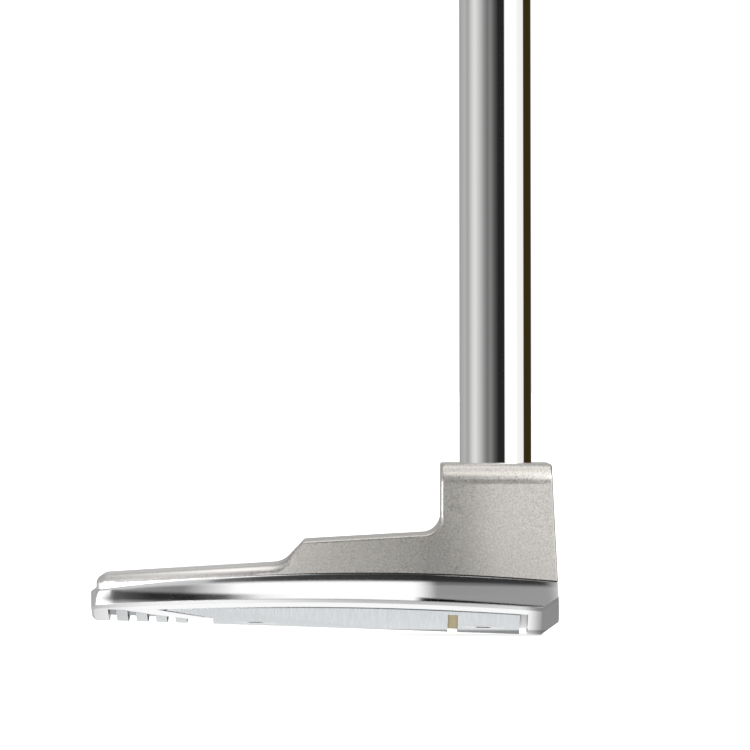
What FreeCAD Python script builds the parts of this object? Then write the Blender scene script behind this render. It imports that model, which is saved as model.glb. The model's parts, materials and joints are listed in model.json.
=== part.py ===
"""Centre-shafted mid-mallet putter, right-handed.

Frame: +X is the way the face points, -Y the toe, +Y the heel, +Z up. The origin is on the ground, under the
shaft's plane and at the middle of the head, so Z = 0 is the lowest line of the sole. Millimetres.
"""
import FreeCAD, Part

import math
import os

import Sketcher

Vector = FreeCAD.Vector
Rotation = FreeCAD.Rotation
Placement = FreeCAD.Placement

os.makedirs("parts", exist_ok=True)
doc = FreeCAD.newDocument("mallet_putter")

# ---------------------------------------------------------------------------------------------------------
# Driving dimensions
# ---------------------------------------------------------------------------------------------------------
DIMENSIONS = {
    # side view of the head
    "face_foot_x": 8.25,         # face plane at ground level
    "face_loft": 3.0,            # degrees
    "block_top_z": 22.37,
    "block_rear_x": -7.17,
    "flange_block_z": 13.36,     # flange level where it meets the block
    "ramp_top_x": -24.95,
    "ramp_top_z": 12.36,
    "ramp_foot_x": -27.74,
    "ramp_foot_z": 9.38,
    "rear_x": -52.4,
    "rear_z": 7.98,
    "block_fillet_radius": 2.4,
    "ramp_crest_radius": 0.5,
    "ramp_foot_radius": 3.0,
    # plan view of the head: the toe and heel sides are arcs whose centres lie beyond the middle line
    "side_radius": 60.3,
    "side_centre_x": -11.3,
    "side_centre_y": 10.8,
    "rear_corner_radius": 3.5,
    # sole
    "land_x": 5.86,              # foremost line of the sole, on the ground
    "sole_slope": 1.9,           # degrees
    "camber_radius": 326.0,
    "lead_chamfer_angle": 35.5,  # degrees
    "lead_chamfer_radius": 400.0,
    # line between the bead-blasted body and the polished frame, an arc in side view
    "parting_radius": 270.0,
    "parting_crest_x": -16.5,
    "parting_crest_z": 8.38,
    "band_setback": 0.7,         # at the rear the body's wall stands this far inside the frame's
    "side_setback": 0.25,        # the same at the middle of the toe and heel sides
    "body_shift_x": 0.75,        # the body's side arcs lie further forward, so it overhangs at the front
    "band_crown_radius": 20.0,   # the frame's sides are crowned like a barrel, from waist to parting
    "band_waist_z": 3.8,
    "band_top_radius": 0.25,
    "band_foot_chamfer": 0.4,
    "block_end_radius": 2.6,     # toe and heel ends of the topline
    "edge_radius": 0.35,
    "rear_edge_radius": 1.2,     # the lower level of the flange rolls over more
    # sole frame
    "rim_width": 5.5,
    "ledge_width": 5.0,
    "rear_land_x": -50.2,
    "ledge_rear_x": -47.0,
    "opening_front_x": 3.0,
    "front_bar_thick": 2.2,
    "front_bar_half": 42.0,
    "groove_width": 1.05,        # groove in the frame round the plate
    "groove_depth": 0.75,
    "brace_thick": 2.5,
    # sole plate and its damper
    "plate_thick": 2.5,
    "plate_gap": 0.12,
    "plate_rear_x": -36.7,
    "plate_corner_y": 25.6,
    "plate_corner_slope": 1.442,
    "damper_thick": 0.8,
    "slot_x": -5.65,
    "slot_width": 1.3,
    "slot_half": 40.0,
    "slot_depth": 0.4,
    # rib bay behind the plate
    "bay_mouth_half": 21.5,
    "bay_step_x": -40.05,
    "bay_rear_half": 32.9,
    "bay_corner_x": -48.5,
    "rib_width": 1.45,
    "rib_pitch": 2.53,
    "rib_first_x": -40.83,
    # shaft and grip, measured along the shaft from the ground
    "lie": 70.0,                 # degrees
    "club_length": 863.6,
    "aim_z": 8.0,                # height at which the shaft's axis crosses the head's middle plane
    "shaft_start": 8.0,
    "shaft_tip_radius": 4.7,
    "shaft_butt_radius": 7.35,
    "shaft_wall": 0.5,
    "step_start": 250.0,
    "step_pitch": 28.0,
    "shaft_end": 860.0,
    "bond_thick": 0.1,
    "bond_top_gap": 0.3,
    "plug_length": 7.0,
    "tape_thick": 0.3,
    "tape_start": 600.0,
    "tape_end": 858.0,
    "grip_start": 596.6,
    "grip_flat_y": -9.2,
    "cap_edge_radius": 1.4,
    "vent_radius": 1.5,
    # fasteners and weights
    "plate_screw_head": 2.8,
    "plate_screw_shank": 1.5,
    "plate_screw_length": 7.0,
    "frame_screw_head": 2.2,
    "frame_screw_shank": 1.25,
    "frame_screw_length": 5.6,
    "rib_screw_head": 1.5,
    "rib_screw_shank": 0.8,
    "rib_screw_length": 4.5,
    "weight_radius": 6.5,
    "weight_thick": 4.5,
    "weight_x": -14.0,
    "weight_y": 33.0,
    # relief pockets milled from below, under the sole plate
    "relief_rear_x": -23.5,
    "relief_front_x": -9.5,
    "relief_half": 25.0,
    "relief_roof_z": 10.2,
    "block_relief_rear_x": -4.6,
    "block_relief_front_x": 2.4,
    "block_relief_roof_z": 17.5,
    # alignment lines
    "sight_width": 1.1,
    "sight_depth": 0.35,
}

STEP_COUNT = 12
RIB_COUNT = 4
BEYOND = 60.0    # half-size of a cutting tool that has to reach past the head

dims = doc.addObject("Spreadsheet::Sheet", "dims")
for row, (alias, number) in enumerate(DIMENSIONS.items(), start=1):
    dims.set(f"A{row}", alias)
    dims.set(f"B{row}", str(number))
    dims.setAlias(f"B{row}", alias)
doc.recompute()


def value(expression):
    """Number that an expression over the sheet gives now."""
    return float(dims.evalExpression(str(expression)))


def size(alias):
    """Number held in one cell of the sheet."""
    return value("dims." + alias)


def bind(item, **expressions):
    """Tie an object's properties to the sheet."""
    for name, expression in expressions.items():
        item.setExpression(name, str(expression))
    return item


# ---------------------------------------------------------------------------------------------------------
# Building blocks
# ---------------------------------------------------------------------------------------------------------
def polygon_pad(name, role, corners, length):
    """Body with one straight-sided sketch on an origin plane, padded both ways; corners are expressions."""
    body = doc.addObject("PartDesign::Body", name)
    sketch = body.newObject("Sketcher::SketchObject", name + "_sketch")
    plane = next(item for item in body.Origin.OriginFeatures if item.Role == role)
    sketch.AttachmentSupport = [(plane, "")]
    sketch.MapMode = "FlatFace"
    outline(sketch, corners)
    pad = body.newObject("PartDesign::Pad", name + "_pad")
    pad.Profile = sketch
    pad.Midplane = True
    bind(pad, Length=length)
    doc.recompute()
    return body


def outline(sketch, corners):
    """Closed outline with its corners dimensioned from the sketch's origin."""
    points = [Vector(value(across), value(up), 0) for across, up in corners]
    count = len(points)
    for index in range(count):
        sketch.addGeometry(Part.LineSegment(points[index], points[(index + 1) % count]), False)
    for index in range(count):
        sketch.addConstraint(Sketcher.Constraint("Coincident", index, 2, (index + 1) % count, 1))
    for index, corner in enumerate(corners):
        for kind, expression in zip(("DistanceX", "DistanceY"), corner):
            datum = Sketcher.Constraint(kind, -1, 1, index, 1, value(expression))
            number = sketch.addConstraint(datum)
            sketch.setExpression(f"Constraints[{number}]", str(expression))


def box(name, x_low, x_high, y_half, z_low, z_high):
    """Box centred on the middle plane; every argument but the name is an expression."""
    item = doc.addObject("Part::Box", name)
    bind(item, Length=f"({x_high}) - ({x_low})", Width=f"2 * ({y_half})", Height=f"({z_high}) - ({z_low})")
    bind(item, **{
        "Placement.Base.x": x_low,
        "Placement.Base.y": f"-({y_half})",
        "Placement.Base.z": z_low,
    })
    return item


def cylinder(name, radius, height, place=None):
    item = doc.addObject("Part::Cylinder", name)
    bind(item, Radius=radius, Height=height)
    if place is not None:
        item.Placement = place
    return item


def cone(name, foot, top, height, place):
    item = doc.addObject("Part::Cone", name)
    bind(item, Radius1=foot, Radius2=top, Height=height)
    item.Placement = place
    return item


def cut(name, base, *tools):
    for number, tool in enumerate(tools, start=1):
        result = doc.addObject("Part::Cut", name if number == len(tools) else f"{name}_cut{number}")
        result.Base = base
        result.Tool = tool
        result.Refine = True
        base = result
    return base


def common(name, base, *others):
    for number, other in enumerate(others, start=1):
        result = doc.addObject("Part::Common", name if number == len(others) else f"{name}_common{number}")
        result.Base = base
        result.Tool = other
        result.Refine = True
        base = result
    return base


def fuse(name, *shapes):
    result = doc.addObject("Part::MultiFuse", name)
    result.Shapes = list(shapes)
    result.Refine = True
    return result


def group(name, *shapes):
    """Separate solids that share one node."""
    result = doc.addObject("Part::Compound", name)
    result.Links = list(shapes)
    return result


def dress(kind, name, base, *choices):
    """Fillet or chamfer a solid. A choice is a test on an edge, and a size or a function of the place."""
    doc.recompute()
    edges = []
    for number, edge in enumerate(base.Shape.Edges, start=1):
        for test, amount in choices:
            if test(edge):
                amounts = [amount(end) if callable(amount) else amount for end in ends_of(edge)]
                edges.append((number, *amounts))
                break
    if not edges:
        raise RuntimeError(f"{name} found no edge")
    result = doc.addObject(kind, name)
    result.Base = base
    result.Edges = edges
    doc.recompute()
    return result


def fillet(name, base, *choices):
    return dress("Part::Fillet", name, base, *choices)


def ends_of(edge):
    """Start and end of an edge, in the direction it has on its solid."""
    ends = [edge.valueAt(edge.FirstParameter), edge.valueAt(edge.LastParameter)]
    return ends if edge.Orientation == "Forward" else ends[::-1]


def middle(edge):
    return edge.valueAt((edge.FirstParameter + edge.LastParameter) / 2)


def along_y_at(x, z):
    """Test for an edge that runs heel to toe at a place in side view."""
    def test(edge):
        return all(abs(end.x - x) < 0.05 and abs(end.z - z) < 0.05 for end in ends_of(edge))
    return test


def upright_at(x):
    """Test for an upright edge at a place along the head."""
    def test(edge):
        return abs(middle(edge).x - x) < 0.01 and abs(edge.tangentAt(edge.FirstParameter).z) > 0.99
    return test


def rear_corner(edge):
    """Whether an edge runs up a rear corner of the crowned outline."""
    foot, top = ends_of(edge)
    return abs(middle(edge).x - size("rear_x")) < 0.01 and abs(foot.z - top.z) > 10


def reach_of(spot, shift=0.0):
    """Distance of a place from the centre of the arc of its own side, in plan view."""
    return math.hypot(spot.x - size("side_centre_x") - shift, abs(spot.y) + size("side_centre_y"))


# ---------------------------------------------------------------------------------------------------------
# Shapes that several pieces share
# ---------------------------------------------------------------------------------------------------------
loft_slope = "tan(dims.face_loft * 1 deg)"
side = polygon_pad("side_profile", "XZ_Plane", [
    (f"dims.face_foot_x + 4 * {loft_slope}", "-4"),
    (f"dims.face_foot_x - dims.block_top_z * {loft_slope}", "dims.block_top_z"),
    ("dims.block_rear_x", "dims.block_top_z"),
    ("dims.block_rear_x", "dims.flange_block_z"),
    ("dims.ramp_top_x", "dims.ramp_top_z"),
    ("dims.ramp_foot_x", "dims.ramp_foot_z"),
    ("dims.rear_x", "dims.rear_z"),
    ("dims.rear_x", "-4"),
], 2 * BEYOND)

side_rounded = fillet(
    "side_rounded", side,
    (along_y_at(size("block_rear_x"), size("flange_block_z")), size("block_fillet_radius")),
    (along_y_at(size("ramp_top_x"), size("ramp_top_z")), size("ramp_crest_radius")),
    (along_y_at(size("ramp_foot_x"), size("ramp_foot_z")), size("ramp_foot_radius")),
)


def plan(name, inset, x_low, x_high, shift="0"):
    """Upright prism between the toe and heel arcs, drawn in by inset and shifted forward."""
    arcs = []
    for side_name, sign in (("toe", 1), ("heel", -1)):
        arc = cylinder(f"{name}_{side_name}", f"dims.side_radius - ({inset})", 60)
        bind(arc, **{
            "Placement.Base.x": f"dims.side_centre_x + {shift}",
            "Placement.Base.y": f"{sign} * dims.side_centre_y",
            "Placement.Base.z": "-20",
        })
        arcs.append(arc)
    slab = box(f"{name}_slab", x_low, x_high, BEYOND, -10, 35)
    return common(name, arcs[0], arcs[1], slab)


slope = math.radians(size("sole_slope"))
sole_run = Vector(-math.cos(slope), 0, math.sin(slope))     # along the sole, front to rear
sole_up = Vector(math.sin(slope), 0, math.cos(slope))
sole_front = Vector(size("land_x"), 0, 0)


def camber(name, depth):
    """Cylinder whose lowest line is the sole's middle line, raised into the head by depth."""
    base = sole_front + sole_up * size("camber_radius") - sole_run * BEYOND
    place = Placement(base, Rotation(Vector(0, 0, 1), sole_run))
    return cylinder(name, f"dims.camber_radius - ({depth})", 3 * BEYOND, place)


def sole_place(x, y, depth):
    """Placement on the sole, raised by depth, with local Z pointing into the head, square to the sole."""
    tilt = math.asin(y / size("camber_radius"))
    into = sole_up * math.cos(tilt) - Vector(0, 1, 0) * math.sin(tilt)
    centre = sole_front + sole_up * size("camber_radius")
    foot = centre - into * (size("camber_radius") - depth)
    run = (x - foot.x) / sole_run.x
    return Placement(foot + sole_run * run, Rotation(Vector(0, 0, 1), into))


chamfer_angle = math.radians(size("lead_chamfer_angle"))
chamfer_run = Vector(math.cos(chamfer_angle), 0, math.sin(chamfer_angle))
chamfer_up = Vector(-math.sin(chamfer_angle), 0, math.cos(chamfer_angle))
chamfer_tool = cylinder(
    "lead_chamfer_tool", "dims.lead_chamfer_radius", 4 * BEYOND,
    Placement(sole_front + chamfer_up * size("lead_chamfer_radius") - chamfer_run * (2 * BEYOND),
              Rotation(Vector(0, 0, 1), chamfer_run)),
)

parting_tool = cylinder("parting_tool", "dims.parting_radius", 2 * BEYOND)
parting_tool.Placement = Placement(
    Vector(size("parting_crest_x"), -BEYOND, size("parting_crest_z") - size("parting_radius")),
    Rotation(Vector(0, 0, 1), Vector(0, 1, 0)),
)

sole_skin = camber("sole_skin", "0")
groove_skin = camber("groove_skin", "dims.groove_depth")
brace_skin = camber("brace_skin", "dims.brace_thick")
damper_skin = camber("damper_skin", "dims.plate_thick + dims.damper_thick")
slot_skin = camber("slot_skin", "dims.slot_depth")
bar_skin = camber("bar_skin", "dims.front_bar_thick")



def crowned_side(name, sign):
    """Barrel inside the arc of one side: a torus, widest at the band's waist, and the core in its hole."""
    ring = doc.addObject("Part::Torus", f"{name}_ring")
    bind(ring, Radius1="dims.side_radius - dims.band_crown_radius", Radius2="dims.band_crown_radius")
    core = cylinder(f"{name}_core", "dims.side_radius - 0.75 * dims.band_crown_radius",
                    "1.4 * dims.band_crown_radius")
    for item, drop in ((ring, "0"), (core, "0.7 * dims.band_crown_radius")):
        bind(item, **{
            "Placement.Base.x": "dims.side_centre_x",
            "Placement.Base.y": f"{sign} * dims.side_centre_y",
            "Placement.Base.z": f"dims.band_waist_z - {drop}",
        })
    return fuse(name, ring, core)


crowned_plan = common("crowned_plan", crowned_side("toe_barrel", 1), crowned_side("heel_barrel", -1),
                      box("crowned_slab", "dims.rear_x", "30", BEYOND, "-8", "16"))
full_plan = fillet("full_plan_rounded", crowned_plan, (rear_corner, size("rear_corner_radius")))
body_rear_x = size("rear_x") + size("band_setback")
body_plan = fillet("body_plan_rounded",
                   plan("body_plan", "dims.side_setback", "dims.rear_x + dims.band_setback", "30",
                        "dims.body_shift_x"),
                   (upright_at(body_rear_x), size("rear_corner_radius")))

head_blank = common("head_blank", side_rounded, full_plan, sole_skin, chamfer_tool)
body_sharp = common("body_sharp", side_rounded, body_plan, sole_skin, chamfer_tool)

# the opening for the sole plate, with diagonal rear corners, and the rib bay behind it
def plate_prism(name, wider):
    """Prism whose front and rear edges are the sole plate's, moved outward by the given length."""
    front_x = f"dims.opening_front_x + {wider}"
    rear_x = f"dims.plate_rear_x - {wider}"
    drawn_in = "(sqrt(1 + dims.plate_corner_slope ^ 2) - dims.plate_corner_slope)"
    corner_y = f"(dims.plate_corner_y - {wider} * {drawn_in})"
    far_x = f"{rear_x} - ({BEYOND} - {corner_y}) / dims.plate_corner_slope"
    return polygon_pad(name, "XY_Plane", [
        (front_x, -BEYOND),
        (front_x, BEYOND),
        (far_x, BEYOND),
        (rear_x, corner_y),
        (rear_x, f"-{corner_y}"),
        (far_x, -BEYOND),
    ], 2 * BEYOND)


plate_corners = plate_prism("plate_corners", "0")
plate_opening = common("plate_opening", plate_corners,
                       plan("plate_arcs", "dims.rim_width", "dims.rear_x", "dims.opening_front_x"))
groove_outline = common("groove_outline", plate_prism("groove_corners", "dims.groove_width"),
                        plan("groove_arcs", "dims.rim_width - dims.groove_width", "dims.rear_x", "30"))


def bay(name, gap):
    """Prism of the rib bay, drawn in by a gap on every side."""
    return polygon_pad(name, "XY_Plane", [
        (f"dims.plate_rear_x - {gap}", f"dims.bay_mouth_half - {gap}"),
        (f"dims.plate_rear_x - {gap}", f"-dims.bay_mouth_half + {gap}"),
        ("dims.bay_step_x", f"-dims.bay_mouth_half + {gap}"),
        ("dims.bay_corner_x", f"-dims.bay_rear_half + {gap}"),
        (f"dims.rear_land_x + {gap}", f"-dims.bay_rear_half + {gap}"),
        (f"dims.rear_land_x + {gap}", f"dims.bay_rear_half - {gap}"),
        ("dims.bay_corner_x", f"dims.bay_rear_half - {gap}"),
        ("dims.bay_step_x", f"dims.bay_mouth_half - {gap}"),
    ], 2 * BEYOND)


bay_opening = bay("bay_opening", "0")
plate_recess = cut("plate_recess", plate_opening, damper_skin)
bay_recess = cut("bay_recess", bay_opening, brace_skin)

# ---------------------------------------------------------------------------------------------------------
# Fasteners, slugs and the shaft's bore, as the blanks that also cut their seats
# ---------------------------------------------------------------------------------------------------------
screw_stems = []


def countersunk(name, x, y, depth, kind):
    """Countersunk screw blank with its flat head outwards, flush with the sole raised by depth."""
    place = sole_place(x, y, depth)
    head = f"dims.{kind}_head"
    shank = f"dims.{kind}_shank"
    seat = cone(f"{name}_head", head, shank, f"{head} - {shank}", place)
    stem = cylinder(f"{name}_stem", shank, f"dims.{kind}_length", place)
    screw_stems.append(stem)
    return fuse(name, seat, stem)


def with_socket(name, blank, x, y, depth, across_corners, socket_depth):
    """The finished screw: its blank with a hexagonal socket."""
    socket = doc.addObject("Part::Prism", name + "_socket")
    socket.Polygon = 6
    bind(socket, Circumradius=across_corners, Height=socket_depth)
    socket.Placement = sole_place(x, y, depth)
    return cut(name, blank, socket)


plate_screw_spots = [(x, sign * y) for x, y in ((-1.75, 24.0), (-31.2, 18.0)) for sign in (-1, 1)]
frame_screw_spots = []
for x in (-1.0, -12.0, -22.5):
    reach = size("side_radius") - size("rim_width") - size("ledge_width") / 2
    y = math.sqrt(reach ** 2 - (x - size("side_centre_x")) ** 2) - size("side_centre_y")
    frame_screw_spots += [(x, -y), (x, y)]
rib_screw_spots = [(-38.4, -15.0), (-38.4, 15.0)]

SCREW_KINDS = {
    "plate_screw": (plate_screw_spots, 0.0, "dims.plate_screw_head * 0.42", 1.3),
    "frame_screw": (frame_screw_spots, size("plate_thick") + size("damper_thick"),
                    "dims.frame_screw_head * 0.42", 0.9),
    "rib_screw": (rib_screw_spots, size("groove_depth"), "dims.rib_screw_head * 0.42", 0.6),
}
screw_blanks = {}
screws = {}
for kind, (spots, depth, across_corners, socket_depth) in SCREW_KINDS.items():
    blanks = [countersunk(f"{kind}_blank{number}", x, y, depth, kind)
              for number, (x, y) in enumerate(spots, start=1)]
    screw_blanks[kind] = group(f"{kind}_blanks", *blanks)
    screws[kind] = [with_socket(f"{kind}{number}", blank, x, y, depth, across_corners, socket_depth)
                    for number, (blank, (x, y)) in enumerate(zip(blanks, spots), start=1)]

weights = {}
recess_top = size("plate_thick") + size("damper_thick")
for name, sign in (("toe_weight", -1), ("heel_weight", 1)):
    place = sole_place(size("weight_x"), sign * size("weight_y"), recess_top)
    weights[name] = cylinder(name, "dims.weight_radius", "dims.weight_thick", place)

lean = math.radians(90 - size("lie"))
shaft_run = Vector(0, math.sin(lean), math.cos(lean))
ground_point = Vector(0, -size("aim_z") * math.tan(lean), 0)
club_place = Placement(ground_point, Rotation(Vector(0, 0, 1), shaft_run))


def on_shaft(distance, across_y=0.0):
    """Placement on the shaft's axis, at a distance from the ground, with local Z along the shaft."""
    return club_place.multiply(Placement(Vector(0, across_y, distance), Rotation()))


bore_radius = "dims.shaft_tip_radius + dims.bond_thick"
shaft_bore = cylinder("shaft_bore", bore_radius, 2 * BEYOND, on_shaft(size("shaft_start")))


def sight_bar(name, x_low, z_low, x_high, z_high):
    """Bar sunk in a sloping flange level, its top flush with the line between two points in side view."""
    run = Vector(x_high - x_low, 0, z_high - z_low)
    bar = doc.addObject("Part::Box", name)
    bind(bar, Width="dims.sight_width", Height="dims.sight_depth")
    bar.Length = run.Length
    turn = Rotation(Vector(1, 0, 0), run)
    corner = Vector(x_low, 0, z_low)
    corner -= turn.multVec(Vector(0, size("sight_width") / 2, size("sight_depth")))
    bar.Placement = Placement(corner, turn)
    return bar


def level_z(x, x_a, z_a, x_b, z_b):
    return z_a + (z_b - z_a) * (x - x_a) / (x_b - x_a)


front_level = (size("block_rear_x"), size("flange_block_z"), size("ramp_top_x"), size("ramp_top_z"))
rear_level = (size("ramp_foot_x"), size("ramp_foot_z"), size("rear_x"), size("rear_z"))
sight_bars = []
for name, x_low, x_high, level in (("sight_front", -23.6, -10.6, front_level),
                                   ("sight_rear", -48.6, -30.0, rear_level)):
    sight_bars.append(sight_bar(name, x_low, level_z(x_low, *level), x_high, level_z(x_high, *level)))
sight_line = group("sight_line", *sight_bars)

# ---------------------------------------------------------------------------------------------------------
# Sole frame
# ---------------------------------------------------------------------------------------------------------
core_arcs = plan("core_arcs", "dims.rim_width + dims.ledge_width", "dims.ledge_rear_x",
                 "dims.opening_front_x")
core_room = common("core_room", core_arcs, brace_skin)
bar_room = common("bar_room", box("bar_slab", "dims.opening_front_x - 1", "30", "dims.front_bar_half",
                                  "-10", "35"), bar_skin)
frame_zone = cut("frame_zone", parting_tool, core_room, bar_room)
plate_groove = cut("plate_groove", groove_outline, groove_skin)
frame_raw = cut("frame_raw", common("frame_blank", head_blank, frame_zone), plate_groove, plate_recess,
                bay_recess, screw_blanks["frame_screw"])


def on_outside(spot):
    """Whether a place is on the frame's outer wall, its rear corners and rear included."""
    crown = size("band_crown_radius")
    wall = size("side_radius") - crown + math.sqrt(crown ** 2 - (spot.z - size("band_waist_z")) ** 2)
    return reach_of(spot) > wall - 0.05 or spot.x < size("rear_x") + size("rear_corner_radius") / 2


def on_band_top(edge):
    """Edge where the frame's outer wall meets the parting surface."""
    spot = middle(edge)
    rise = math.sqrt(size("parting_radius") ** 2 - (spot.x - size("parting_crest_x")) ** 2)
    parting_z = size("parting_crest_z") - size("parting_radius") + rise
    return abs(spot.z - parting_z) < 0.02 and on_outside(spot) and spot.x < 7.4


def on_band_foot(edge):
    """Edge where the frame's outer wall meets the sole."""
    spot = middle(edge)
    return spot.z < 5 and on_outside(spot) and all(on_outside(end) for end in ends_of(edge))


frame_top_rounded = fillet("frame_top_rounded", frame_raw, (on_band_top, size("band_top_radius")))
sole_frame = dress("Part::Chamfer", "sole_frame_chamfered", frame_top_rounded,
                   (on_band_foot, size("band_foot_chamfer")))

# ---------------------------------------------------------------------------------------------------------
# Head body
# ---------------------------------------------------------------------------------------------------------
def on_block_end(edge):
    """Top edge of the topline's toe or heel end."""
    return abs(middle(edge).z - size("block_top_z")) < 0.01 and abs(middle(edge).y) > size("front_bar_half")


def on_body_rim(edge):
    """Upper edge of the body anywhere round its outline, and the topline's long top edges."""
    spot = middle(edge)
    face_x = size("face_foot_x") - spot.z * math.tan(math.radians(size("face_loft")))
    end_foot_z = size("block_top_z") - size("block_end_radius")
    around = reach_of(spot, size("body_shift_x")) > size("side_radius") - size("side_setback") - 0.02
    behind = spot.x < body_rear_x + size("rear_corner_radius") / 2
    on_block = abs(spot.x - size("block_rear_x")) < 0.02 or abs(spot.x - face_x) < 0.02
    if abs(spot.z - end_foot_z) < 0.01:
        return False
    return ((around or behind) and 8 < spot.z < end_foot_z) or (on_block and spot.z > end_foot_z)


def rim_radius(spot):
    """Small on the block and the upper level, growing down the ramp's foot, larger on the lower level."""
    grow_from = size("ramp_foot_x") + 0.8
    grow_to = size("ramp_foot_x") - 0.8
    share = min(1, max(0, (grow_from - spot.x) / (grow_from - grow_to)))
    return size("edge_radius") + share * (size("rear_edge_radius") - size("edge_radius"))


body_ends = fillet("body_ends", body_sharp, (on_block_end, size("block_end_radius")))
body_blank = fillet("body_blank", body_ends, (on_body_rim, rim_radius))
body_seat = cut("body_seat", body_blank, frame_zone, plate_recess, bay_recess)
body_tapped = cut("body_tapped", body_seat, *screw_stems)

# the topline's pockets, from toe to heel, keep clear of the plate screws and of the shaft's bore
BLOCK_RELIEFS = ((-42.0, -28.5), (-19.5, -9.0), (12.0, 19.5), (28.5, 42.0))
relief_tools = [box("flange_relief", "dims.relief_rear_x", "dims.relief_front_x", "dims.relief_half",
                    "-10", "dims.relief_roof_z")]
for number, (y_low, y_high) in enumerate(BLOCK_RELIEFS, start=1):
    pocket = doc.addObject("Part::Box", f"block_relief{number}")
    bind(pocket, Length="dims.block_relief_front_x - dims.block_relief_rear_x",
         Height="dims.block_relief_roof_z + 10")
    pocket.Width = y_high - y_low
    pocket.Placement.Base = Vector(size("block_relief_rear_x"), y_low, -10)
    relief_tools.append(pocket)

head_body = cut("head_body_milled", body_tapped, weights["toe_weight"], weights["heel_weight"], *sight_bars,
                shaft_bore, *relief_tools)

# ---------------------------------------------------------------------------------------------------------
# Sole plate, damper and rib plate
# ---------------------------------------------------------------------------------------------------------
slot_tool = box("slot_tool", "dims.slot_x - dims.slot_width / 2", "dims.slot_x + dims.slot_width / 2",
                "dims.slot_half", "-10", "35")
plate_inset_arcs = plan("plate_inset_arcs", "dims.rim_width + dims.plate_gap", "dims.rear_x",
                        "dims.opening_front_x")
plate_outline = common("plate_outline", plate_inset_arcs, plate_corners)
plate_shell = cut("plate_shell", common("plate_thickness", plate_outline, sole_skin), brace_skin)
sole_plate = cut("sole_plate_drilled", plate_shell, slot_tool, screw_blanks["plate_screw"])

damper_layer = cut("damper_layer", common("damper_under", plate_outline, brace_skin), damper_skin)
damper_rib = cut("damper_rib", common("damper_rib_low", slot_tool, slot_skin), brace_skin)
sole_damper = cut("sole_damper_drilled", fuse("damper_whole", damper_layer, damper_rib),
                  screw_blanks["plate_screw"])

bay_inset = bay("bay_inset", "dims.plate_gap")
rib_floor = cut("rib_floor", common("rib_floor_low", bay_inset, groove_skin), brace_skin)
ribs = []
for number in range(RIB_COUNT):
    rib_middle = f"dims.rib_first_x - {number} * dims.rib_pitch"
    slab = box(f"rib_slab{number + 1}", f"{rib_middle} - dims.rib_width / 2",
               f"{rib_middle} + dims.rib_width / 2", BEYOND, "-10", "35")
    ribs.append(common(f"rib{number + 1}", slab, bay_inset, sole_skin))
ribs_trimmed = cut("ribs_trimmed", fuse("ribs_joined", *ribs), groove_skin)
rear_rib_plate = cut("rear_rib_plate_drilled", fuse("rib_plate_whole", rib_floor, ribs_trimmed),
                     screw_blanks["rib_screw"])

# ---------------------------------------------------------------------------------------------------------
# Shaft and its small parts
# ---------------------------------------------------------------------------------------------------------
def shaft_profile():
    """Corners of the tube's half section, (radius, distance from the ground), up outside and down inside."""
    step = f"(dims.shaft_butt_radius - dims.shaft_tip_radius) / {STEP_COUNT}"
    outside = [("dims.shaft_tip_radius", "dims.shaft_start")]
    inside = [("dims.shaft_tip_radius - dims.shaft_wall", "dims.shaft_start")]
    for number in range(STEP_COUNT):
        height = f"dims.step_start + {number} * dims.step_pitch"
        for corners, inner in ((outside, ""), (inside, " - dims.shaft_wall")):
            corners.append((f"dims.shaft_tip_radius + {number} * {step}{inner}", height))
            corners.append((f"dims.shaft_tip_radius + {number + 1} * {step}{inner}", height))
    outside.append(("dims.shaft_butt_radius", "dims.shaft_end"))
    inside.append(("dims.shaft_butt_radius - dims.shaft_wall", "dims.shaft_end"))
    return outside + inside[::-1]


def revolved(name, corners, place):
    """Body turned about its own Z axis from a half section of (radius, height) corners."""
    body = doc.addObject("PartDesign::Body", name)
    sketch = body.newObject("Sketcher::SketchObject", name + "_sketch")
    plane = next(item for item in body.Origin.OriginFeatures if item.Role == "XZ_Plane")
    sketch.AttachmentSupport = [(plane, "")]
    sketch.MapMode = "FlatFace"
    outline(sketch, corners)
    turn = body.newObject("PartDesign::Revolution", name + "_turn")
    turn.Profile = sketch
    turn.ReferenceAxis = (sketch, ["V_Axis"])
    turn.Angle = 360
    body.Placement = place
    doc.recompute()
    return body


def tube(name, inner, outer, start, end):
    """Plain tube on the shaft's axis."""
    return revolved(name, [(inner, start), (outer, start), (outer, end), (inner, end)], club_place)


shaft = revolved("shaft_tube", shaft_profile(), club_place)

bond_long = tube("bond_long", "dims.shaft_tip_radius", bore_radius, "dims.shaft_start", "60")
bond_room = box("bond_room", -BEYOND, BEYOND, BEYOND, "-10", "dims.block_top_z - dims.bond_top_gap")
shaft_epoxy = common("shaft_epoxy_trimmed", bond_long, bond_room)

shaft_tip_plug = cylinder("shaft_tip_plug_rod", "dims.shaft_tip_radius - dims.shaft_wall",
                          "dims.plug_length", on_shaft(size("shaft_start")))
grip_tape = tube("grip_tape_tube", "dims.shaft_butt_radius", "dims.shaft_butt_radius + dims.tape_thick",
                 "dims.tape_start", "dims.tape_end")

# ---------------------------------------------------------------------------------------------------------
# Grip and cap: oval sections whose back swells towards the butt, and a flat thumb side
# ---------------------------------------------------------------------------------------------------------
GRIP_SECTIONS = (
    # distance from the ground, half-width, half-depth, shift to the back
    (596.6, 8.9, 8.9, 0.0),
    (640.0, 9.8, 9.9, 0.0),
    (700.0, 10.8, 11.0, 0.3),
    (760.0, 11.6, 12.1, 0.7),
    (820.0, 12.4, 13.8, 1.6),
    (850.0, 12.7, 14.8, 2.3),
    (860.0, 12.6, 14.7, 2.3),
)


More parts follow.
